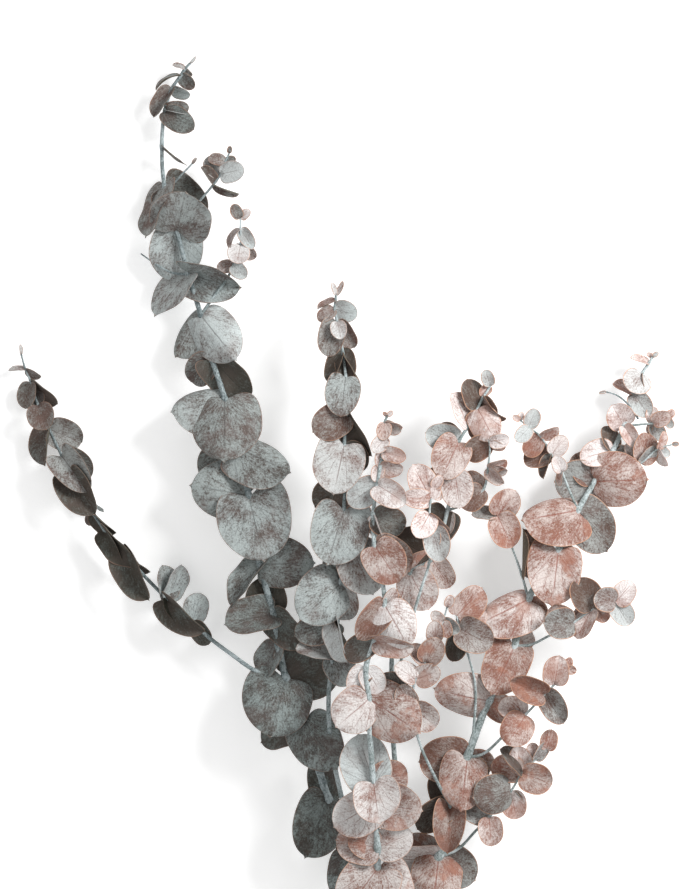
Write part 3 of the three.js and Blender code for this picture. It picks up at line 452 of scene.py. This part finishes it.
def blade(place, leaf, order, tint, radius, draw):
    """One leaf's points in plan millimetres, its faces, and what its surface needs to know at each point."""
    length, heading, rise, roll = leaf[:4]
    form, width_ratio, tone = tuple(leaf[4:]) + PLAIN_LEAF[len(leaf) - 4:]
    fold, curl_left, curl_right, arch = (math.radians(angle) for angle in FORMS[form])
    along, across, out = leaf_frame(heading, rise, roll)
    grown = YOUNG_WIDTH + (1 - YOUNG_WIDTH) * min(1.0, length / FULL_LENGTH)
    half_width = 0.5 * length * width_ratio * grown
    widest, lobe, apex, wave = (np.interp(length, HEART_LENGTH, pair) for pair in (WIDEST, LOBE, APEX, WAVE))
    bulge, sickle, swell = (draw.uniform(-1, 1) for _ in range(3))

    # Shares of the way from base to tip, and from the midrib to the left (1) and right (-1) edge
    rows, columns = LARGE_GRID if length >= LARGE_LEAF else SMALL_GRID
    onward = (BASE_GAP + (1 - BASE_GAP) * (1 - np.cos(np.linspace(0, math.pi, rows))) / 2)[:, None]
    aside = np.sin(np.linspace(-1, 1, columns) * math.pi / 2)[None, :]
    outward = np.abs(aside)
    side = np.sign(aside)

    # The flat leaf: how far each point lies ahead of the base, and how far out its half reaches there
    outline = np.sqrt(np.clip(1 - np.abs(2 * onward ** widest - 1) ** SQUARENESS, 0, 1))
    outline = outline * (1 + LOPSIDED * bulge * side + UNEVEN_EDGE * np.sin(6 * onward + 3 * swell + aside))
    reach = half_width * np.maximum(outline, NARROWEST)
    lobes = 1.4 * lobe * (1 + 0.3 * bulge * side) * outline * (1 - onward) ** 5 * outward ** 1.4
    tip = apex * onward ** 9 * (1 - outward) ** 2
    ahead = length * (onward - lobes + tip)

    # Its halves fold and curl about the midrib, its margin ripples and the whole arches lengthwise
    curl = np.where(aside > 0, curl_left, curl_right)
    sideways, lift = arc(fold, curl, outward)
    lean = fold + curl * outward
    eased = np.clip(onward / 0.2, 0, 1)
    phase, pace = draw.random(), draw.uniform(1.1, 2.0)
    margin = outward ** 2 * np.sin(2 * math.pi * (pace * onward + phase) + 1.3 * side)
    buckle = 0.4 * np.sin(3.1 * aside + 5.3 * onward + 6 * phase)
    ripple = length * wave * eased * (margin + buckle)
    tangent = arch * (0.5 - ahead / length)
    chord = 0.5 * (0.5 * arch + tangent)
    normal = np.cos(tangent)[..., None] * out - np.sin(tangent)[..., None] * along
    drift = reach * sideways * side + 0.5 * SICKLE * sickle * length * onward ** 2
    middle = (np.asarray(place, float)
              + (ahead * np.cos(chord))[..., None] * along
              + (ahead * np.sin(chord))[..., None] * out
              + drift[..., None] * across
              + (reach * lift + ripple)[..., None] * normal)

    # The upper leaf of a rising pair lies over its stem, and further leaves lie a step lower each
    perched = radius + PERCH if order == 0 and rise > PERCH_RISE else 0.0
    clear = np.clip(np.hypot(onward * length, reach * aside) / (CLEAR_SHARE * length), 0, 1)
    middle[..., 2] += (perched - order * LEAF_STEP) * clear
    middle[..., 2] = settle(middle[..., 2]) + 0.5 * BLADE_THICKNESS

    face_normal = np.cos(lean)[..., None] * normal - (side * np.sin(lean))[..., None] * across
    edge = np.minimum((1 - outward) * reach, (1 - onward) * length)
    thickness = RIM_THICKNESS + (BLADE_THICKNESS - RIM_THICKNESS) * np.clip(edge / RIM_WIDTH, 0, 1)
    half_skin = 0.5 * thickness[..., None] * face_normal
    flat_map = np.stack([ahead, reach * aside], axis=-1).reshape(-1, 2)
    count = rows * columns
    return {
        "points": np.concatenate([(middle + half_skin).reshape(-1, 3), (middle - half_skin).reshape(-1, 3)]),
        "faces": grid_faces(rows, columns),
        "leaf_map": np.concatenate([flat_map, flat_map]),
        "edge": np.tile(edge.reshape(-1), 2),
        "under": np.repeat([0.0, 1.0], count),
        "seed": np.full(2 * count, draw.random()),
        "tone": np.full(2 * count, tone),
        "tint": np.full(2 * count, tint),
        "size": np.full(2 * count, length),
    }


def smooth_curve(places, step):
    """Points, and their share of the way along, on a centripetal Catmull-Rom curve through the places."""
    places = np.asarray(places, float)
    padded = np.vstack([2 * places[0] - places[1], places, 2 * places[-1] - places[-2]])
    points, shares = [], []
    for k in range(len(places) - 1):
        before, start, end, after = padded[k:k + 4]
        pairs = ((before, start), (start, end), (end, after))
        first, second, third = (max(np.linalg.norm(b - a), 1e-4) ** 0.5 for a, b in pairs)
        leaving = (start - before) / first - (end - before) / (first + second) + (end - start) / second
        arriving = (end - start) / second - (after - start) / (second + third) + (after - end) / third
        count = max(2, int(np.linalg.norm(end - start) / step))
        for t in np.arange(count) / count:
            points.append((2 * t**3 - 3 * t**2 + 1) * start + (t**3 - 2 * t**2 + t) * leaving * second
                          + (3 * t**2 - 2 * t**3) * end + (t**3 - t**2) * arriving * second)
            shares.append((k + t) / (len(places) - 1))
    points.append(places[-1])
    shares.append(1.0)
    return np.array(points), np.array(shares)


def stem_radius(shoot, share):
    """The plain radius of a shoot's stem this share of the way along it."""
    _, base_diameter, tip_diameter, _, _ = shoot
    return 0.5 * (tip_diameter + (base_diameter - tip_diameter) * (1 - share) ** STEM_TAPER)


def stem_tube(shoot, draw):
    """A shoot's stem: round, tapered, swollen at its joints and closed at both ends."""
    _, _, _, tint, joints = shoot
    points, shares = smooth_curve([joint[:3] for joint in joints], STEM_STEP)
    radius = stem_radius(shoot, shares)
    for joint in joints[1:]:
        if len(joint) > 3:
            away = np.linalg.norm(points - np.array(joint[:3], float), axis=1)
            radius *= 1 + JOINT_SWELLING * np.exp(-(away / (SWELLING_REACH + 0.5 * radius)) ** 2)
    radius *= 1 + STEM_UNEVENNESS * np.sin(np.arange(len(radius)) * 1.7 + 6 * draw.random())
    tangents = np.gradient(points, axis=0)
    tangents /= np.linalg.norm(tangents, axis=1)[:, None]
    side = np.cross(tangents, [0.0, 0.0, 1.0])
    side /= np.linalg.norm(side, axis=1)[:, None]
    lift = np.cross(side, tangents)
    turns = np.arange(STEM_SIDES) * 2 * math.pi / STEM_SIDES
    ring = (side[:, None, :] * np.cos(turns)[None, :, None]
            + lift[:, None, :] * np.sin(turns)[None, :, None])
    skin_points = points[:, None, :] + ring * radius[:, None, None]
    rings = len(points)
    index = np.arange(rings * STEM_SIDES).reshape(rings, STEM_SIDES)
    after = np.roll(index, -1, axis=1)
    faces = [(index[i, k], after[i, k], after[i + 1, k], index[i + 1, k])
             for i in range(rings - 1) for k in range(STEM_SIDES)]
    faces += [tuple(index[0, ::-1]), tuple(index[-1, :])]
    steps = np.linalg.norm(np.diff(points, axis=0), axis=1)
    along = np.repeat(np.concatenate([[0], np.cumsum(steps)]), STEM_SIDES)
    around = np.tile(turns / (2 * math.pi), rings)
    count = rings * STEM_SIDES
    return {
        "points": skin_points.reshape(-1, 3),
        "faces": faces,
        "leaf_map": np.stack([along, around], axis=-1),
        "edge": np.zeros(count),
        "under": np.zeros(count),
        "seed": np.full(count, draw.random()),
        "tone": np.zeros(count),
        "tint": np.full(count, tint),
        "size": np.repeat(radius, STEM_SIDES),
    }


def piece(name, shapes, material, replaced):
    """One Blender piece from several shapes, riding on the root body in place of its CAD node."""
    points, faces = [], []
    for shape in shapes:
        start = sum(len(block) for block in points)
        points.append(shape["points"])
        faces += [tuple(int(k) + start for k in face) for face in shape["faces"]]
    mesh = bpy.data.meshes.new(name)
    mesh.from_pydata(in_frame(np.concatenate(points)).tolist(), [], faces)
    for field in ("edge", "under", "seed", "tone", "tint", "size"):
        values = np.concatenate([shape[field] for shape in shapes]).astype(np.float32)
        mesh.attributes.new(field, "FLOAT", "POINT").data.foreach_set("value", values)
    flat = np.concatenate([shape["leaf_map"] for shape in shapes])
    corners = np.empty(len(mesh.loops), np.int32)
    mesh.loops.foreach_get("vertex_index", corners)
    mesh.uv_layers.new(name="leaf_map").data.foreach_set("uv", flat[corners].astype(np.float32).reshape(-1))
    mesh.polygons.foreach_set("use_smooth", [True] * len(mesh.polygons))
    mesh.materials.append(material)
    mesh.validate()
    mesh.update()
    made = bpy.data.objects.new(name, mesh)
    bpy.context.scene.collection.objects.link(made)
    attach(made, "root")
    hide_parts(replaced)


# ---------------------------------------------------------------- finishes

def colour(code):
    """A linear colour from its six-digit code."""
    shares = [int(code[k:k + 2], 16) / 255 for k in (0, 2, 4)]
    return tuple(s / 12.92 if s <= 0.04045 else ((s + 0.055) / 1.055) ** 2.4 for s in shares) + (1.0,)


class Field:
    """A value over a surface: one output socket of a material, which operators turn into more nodes."""

    def __init__(self, tree, output=None):
        self.tree = tree
        self.output = output

    def make(self, kind, settings=None, sockets=None, result=0):
        """Adds a node with these settings and socket values, and gives one of its outputs."""
        node = self.tree.nodes.new(kind)
        for name, value in (settings or {}).items():
            setattr(node, name, value)
        for name, value in (sockets or {}).items():
            if isinstance(value, Field):
                self.tree.links.new(value.output, node.inputs[name])
            else:
                node.inputs[name].default_value = value
        return Field(self.tree, node.outputs[result])

    def maths(self, operation, *values):
        return self.make("ShaderNodeMath", {"operation": operation}, dict(enumerate(values)))

    def __add__(self, other):
        return self.maths("ADD", self, other)

    __radd__ = __add__

    def __sub__(self, other):
        return self.maths("SUBTRACT", self, other)

    def __rsub__(self, other):
        return self.maths("SUBTRACT", other, self)

    def __mul__(self, other):
        return self.maths("MULTIPLY", self, other)

    __rmul__ = __mul__

    def __truediv__(self, other):
        return self.maths("DIVIDE", self, other)

    def __rtruediv__(self, other):
        return self.maths("DIVIDE", other, self)

    def __abs__(self):
        return self.maths("ABSOLUTE", self)

    def fraction(self):
        """What is left of the value above the whole number under it."""
        return self.maths("FRACT", self)

    def between(self, low, high):
        """0 where the value is under low, 1 where it is over high, smooth between."""
        return self.make("ShaderNodeMapRange", {"interpolation_type": "SMOOTHSTEP"},
                         {"Value": self, "From Min": low, "From Max": high}, "Result")

    def tinted(self, low, high):
        """The colour low where the value is 0 and high where it is 1, each a field or a six-digit code."""
        low, high = (colour(shade) if isinstance(shade, str) else shade for shade in (low, high))
        return self.make("ShaderNodeMix", {"data_type": "RGBA"}, {0: self, 6: low, 7: high}, 2)

    def axis(self, name):
        """One axis, X, Y or Z, of a vector."""
        return self.make("ShaderNodeSeparateXYZ", None, {"Vector": self}, name)

    def noise(self, place, scale, detail=3.0, roughness=0.55, seed=0.0):
        """Cloudy noise at a place, with its own pattern for each seed."""
        return self.make("ShaderNodeTexNoise", {"noise_dimensions": "4D"}, {
            "Vector": place, "W": seed, "Scale": scale, "Detail": detail, "Roughness": roughness})

    def bump(self, height, strength, depth):
        """The surface's normal under a relief of this depth in metres."""
        return self.make("ShaderNodeBump", None, {"Strength": strength, "Distance": depth, "Height": height})


def new_finish(name):
    """A material with an empty field to build from, and its shader's node."""
    material = bpy.data.materials.new(name)
    material.use_nodes = True
    tree = material.node_tree
    shader = tree.nodes["Principled BSDF"]
    return material, Field(tree), shader


def feed(shader, **values):
    """Links or sets the shader's sockets, named with underscores for spaces."""
    for name, value in values.items():
        socket = shader.inputs[name.replace("_", " ")]
        if isinstance(value, Field):
            value.tree.links.new(value.output, socket)
        else:
            socket.default_value = value


def object_place(field):
    return field.make("ShaderNodeTexCoord", result="Object")


def flat_place(field):
    """Millimetres along and across a flat leaf, or along a stem and in turns round it."""
    return field.make("ShaderNodeUVMap", {"uv_map": "leaf_map"})


def point_value(field, name):
    return field.make("ShaderNodeAttribute", {"attribute_name": name}, None, "Fac")


def leaf_veins(field, ahead, aside, seed):
    """Veins that leave the base in a fan and finer ones aslant from the midrib, and the place in that fan."""
    wobble = field.noise(object_place(field), WOBBLE_SCALE, 3.0, 0.6) - 0.5
    turn = field.maths("ARCTAN2", abs(aside), ahead * 0.8 + 0.06) + wobble * 0.22
    distance = field.maths("SQRT", ahead * ahead + aside * aside)
    fan = abs((turn * FAN_VEINS + seed * 7).fraction() - 0.5)
    slant = abs((ahead * SIDE_VEINS - abs(aside) * 5.0 + wobble * 0.9 + seed * 5).fraction() - 0.5)
    fade = 1 - distance.between(0.55, 0.95)
    fan_vein = (1 - fan.between(0.0, 0.05)) * fade * abs(aside).between(0.01, 0.05)
    side_vein = (1 - slant.between(0.0, 0.09)) * abs(aside).between(0.03, 0.12) * 0.55
    midrib = (1 - abs(aside + wobble * 0.02).between(0.004, 0.018)) * (1 - ahead.between(0.6, 0.95))
    veins = field.maths("MAXIMUM", field.maths("MAXIMUM", fan_vein, side_vein), midrib)
    return veins, turn, distance


def leaf_finish():
    """Waxy leaf: green-grey to pinkish brown under a pale bloom, cracked and rubbed off along the veins."""
    material, field, shader = new_finish("waxy_leaf")
    place = object_place(field)
    flat = flat_place(field)
    tint, seed, under, edge, own_tone, size = (
        point_value(field, name) for name in ("tint", "seed", "under", "edge", "tone", "size"))
    young = 1 - size.between(*YOUNG_LENGTHS)
    tone = own_tone + (seed - 0.5) * 0.7 + young * tint * 0.4
    veins, turn, distance = leaf_veins(field, flat.axis("X") / size, flat.axis("Y") / size, seed)

    # Grain: streaks that run out from the base, fine cracks, and broad clouds
    fan_place = field.make("ShaderNodeCombineXYZ", None, {
        "X": turn * 16, "Y": distance * size * 0.22, "Z": seed * 60})
    streak = field.noise(fan_place, 1.0, 4.0, 0.7)
    grain = field.noise(place, GRAIN_SCALE, 4.0, 0.78)
    crack = 1 - field.make("ShaderNodeTexVoronoi", {"feature": "DISTANCE_TO_EDGE"},
                           {"Vector": place, "Scale": CRACK_SCALE}, "Distance").between(0.0, 0.12)
    cloud = field.noise(place, CLOUD_SCALE, 3.0, 0.6, seed * 9)
    blotch = field.noise(place, BLOTCH_SCALE, 4.0, 0.65, seed * 17 + 3)

    # Dark-toned leaves have less blush and bloom and go towards a dark colour, partly their own darker colour
    # and partly painted shade, and some others never had a blush
    dark = 1 - tone.between(-1.0, -0.15)
    plain = (seed * 13.7).fraction().between(0.7, 0.8)
    blush = tint * (1 - dark * 0.8) * (1 - plain * 0.75)
    worn = streak * 0.42 + grain * 0.52 + cloud * 0.48 - tone * 0.10
    bloom = 1 - worn.between(0.61, 0.84)
    bloom_colour = tone.between(-0.6, 0.9).tinted(blush.tinted(*DULL_BLOOM), blush.tinted(*PALE_BLOOM))
    skin = bloom.tinted(blush.tinted(*BARE_SKIN), bloom_colour)
    patch = blotch.between(0.52, 0.62) * blush.between(0.3, 0.8) * (0.62 - tone * 0.4)
    skin = patch.tinted(skin, RUST)
    skin = (grain.between(0.54, 0.68) * 0.44).tinted(skin, blush.tinted(*SPECKS))
    stain = (cloud * 0.6 + blotch * 0.5).between(0.5, 0.68) * 0.3
    skin = stain.tinted(skin, blush.tinted(*STAINS))
    skin = (crack * 0.2).tinted(skin, blush.tinted(*CRACKS))
    skin = (veins * (0.4 + blush * 0.3)).tinted(skin, blush.tinted(*VEINS))
    # Dark-toned leaves darken further: partly their own colour, partly painted shade
    skin = (dark * 0.42).tinted(skin, tint.tinted(*DARK_LEAF_AND_SHADE))
    rim = (1 - edge.between(0.15, 0.85)) * (0.45 + cloud * 0.6)
    skin = (rim * (0.5 + tint * 0.5)).tinted(skin, tint.tinted(*RIM))

    # The under face is darker and browner, but on the palest leaves it has its bloom too
    dusk = (streak * 0.5 + cloud * 0.6).between(0.35, 0.85)
    under_dark = dusk.tinted(tint.tinted(*UNDER_DEEP), tint.tinted(*UNDER_LIGHT))
    under_pale = bloom.tinted(tint.tinted(*UNDER_BARE), tint.tinted(*UNDER_BLOOM))
    under_skin = tone.between(0.1, 0.6).tinted(under_dark, under_pale)
    under_skin = (veins * 0.3).tinted(under_skin, tint.tinted(*UNDER_VEINS))

    relief = grain * 0.5 + streak * 0.4 - veins * 0.9 - crack * 0.3
    feed(shader, Base_Color=under.tinted(skin, under_skin), Roughness=0.88 - bloom * 0.16 - veins * 0.08,
         Normal=field.bump(relief, 0.45, 0.5 * MM), Specular_IOR_Level=0.32)
    return material


def bark_finish():
    """Young eucalyptus bark: blue-grey wax with dark specks and long streaks, paler on the pink shoots."""
    material, field, shader = new_finish("waxy_bark")
    place = object_place(field)
    tint = point_value(field, "tint")
    speck = field.noise(place, BARK_SPECK_SCALE, 4.0, 0.75)
    streak_place = field.make("ShaderNodeMapping", None, {
        "Vector": flat_place(field), "Scale": (0.3, 9.0, 1.0)})
    streak = field.noise(streak_place, 1.4, 3.0)
    cloud = field.noise(place, BARK_CLOUD_SCALE, 2.0)
    worn = (cloud * 0.5 + streak * 0.5 + speck * 0.5).between(0.62, 0.86)
    skin = worn.tinted(tint.tinted(*BARK_WAX), tint.tinted(*BARK_WORN))
    skin = (speck.between(0.54, 0.64) * 0.75).tinted(skin, tint.tinted(*BARK_SPECKS))
    skin = (streak.between(0.58, 0.7) * 0.3).tinted(skin, BARK_STREAK)
    feed(shader, Base_Color=skin, Roughness=0.7 + worn * 0.14,
         Normal=field.bump(speck + streak * 0.6, 0.5, 0.4 * MM), Specular_IOR_Level=0.35)
    return material


def floor_finish():
    """Plain near-white paper, which glows a little so that shadows on it stay soft."""
    material, field, shader = new_finish("pale_floor")
    grain = field.noise(object_place(field), 40.0, 2.0)
    feed(shader, Base_Color=grain.tinted(*PAPER), Roughness=0.9,
         Emission_Color=(1.0, 1.0, 1.0, 1.0), Emission_Strength=FLOOR_GLOW)
    return material


# ---------------------------------------------------------------- camera, light and floor

def add_camera():
    """A long lens straight over the branch, far enough off to see the view's whole height."""
    data = bpy.data.cameras.new("camera")
    data.lens = LENS
    data.sensor_width = SENSOR
    data.clip_end = CAMERA_REACH
    camera = bpy.data.objects.new("camera", data)
    distance = VIEW_HEIGHT * LENS / SENSOR
    camera.location = in_frame(VIEW_POINT) + np.array([0, 0, distance * MM])
    bpy.context.scene.collection.objects.link(camera)
    bpy.context.scene.camera = camera


def add_light(name, toward, distance, size, power):
    """A square soft light that stands off in a direction from the view's middle and shines at the origin."""
    data = bpy.data.lights.new(name, "AREA")
    data.size = size
    data.energy = power
    light = bpy.data.objects.new(name, data)
    away = np.array(toward, float) / np.linalg.norm(toward)
    light.location = in_frame(VIEW_POINT) + away * distance
    light.rotation_euler = (-light.location.normalized()).to_track_quat("-Z", "Y").to_euler()
    bpy.context.scene.collection.objects.link(light)


def add_floor():
    """One large sheet of paper under the branch."""
    corners = [(x * FLOOR_HALF, y * FLOOR_HALF, 0) for x, y in ((-1, -1), (1, -1), (1, 1), (-1, 1))]
    mesh = bpy.data.meshes.new("floor")
    mesh.from_pydata(corners, [], [(0, 1, 2, 3)])
    mesh.materials.append(floor_finish())
    floor = bpy.data.objects.new("floor", mesh)
    floor.location.z = cad_box[0][2]
    bpy.context.scene.collection.objects.link(floor)


def set_surroundings():
    """An even white sky, and colours shown as they are."""
    world = bpy.data.worlds.new("studio")
    world.use_nodes = True
    background = world.node_tree.nodes["Background"]
    background.inputs["Color"].default_value = (1.0, 1.0, 1.0, 1.0)
    background.inputs["Strength"].default_value = SKY_STRENGTH
    bpy.context.scene.world = world
    bpy.context.scene.view_settings.view_transform = "Standard"


# ---------------------------------------------------------------- the branch

def grow(shoot, leaf_material, bark_material):
    """A shoot's stem, its small leaves, and each large pair of leaves as a piece of its own."""
    name, _, _, tint, joints = shoot
    draw = random.Random(f"{name} {SEED}")
    piece(name + "_bark", [stem_tube(shoot, draw)], bark_material, name)
    small = []
    for index, (x, y, z, *leaves) in enumerate(joints):
        share = index / (len(joints) - 1)
        radius = stem_radius(shoot, share)
        blush = min(1.0, tint + TIP_BLUSH * share ** 2)
        blades = [blade((x, y, z), leaf, order, blush, radius, draw) for order, leaf in enumerate(leaves)]
        if leaves and max(leaf[0] for leaf in leaves) >= OWN_NODE_LENGTH:
            node = f"{name}_leaves_{index}"
            piece(f"{name}_pair_{index}", blades, leaf_material, node)
        else:
            small += blades
    if small:
        piece(name + "_small_leaves", small, leaf_material, name)


add_camera()
add_light("key_light", toward=(0.85, 0.5, 0.8), distance=1.6, size=0.6, power=28)
add_light("fill_light", toward=(-0.6, -0.3, 1.0), distance=1.9, size=1.6, power=7)
add_floor()
set_surroundings()
waxy_leaf = leaf_finish()
waxy_bark = bark_finish()
for shoot in SHOOTS:
    grow(shoot, waxy_leaf, waxy_bark)
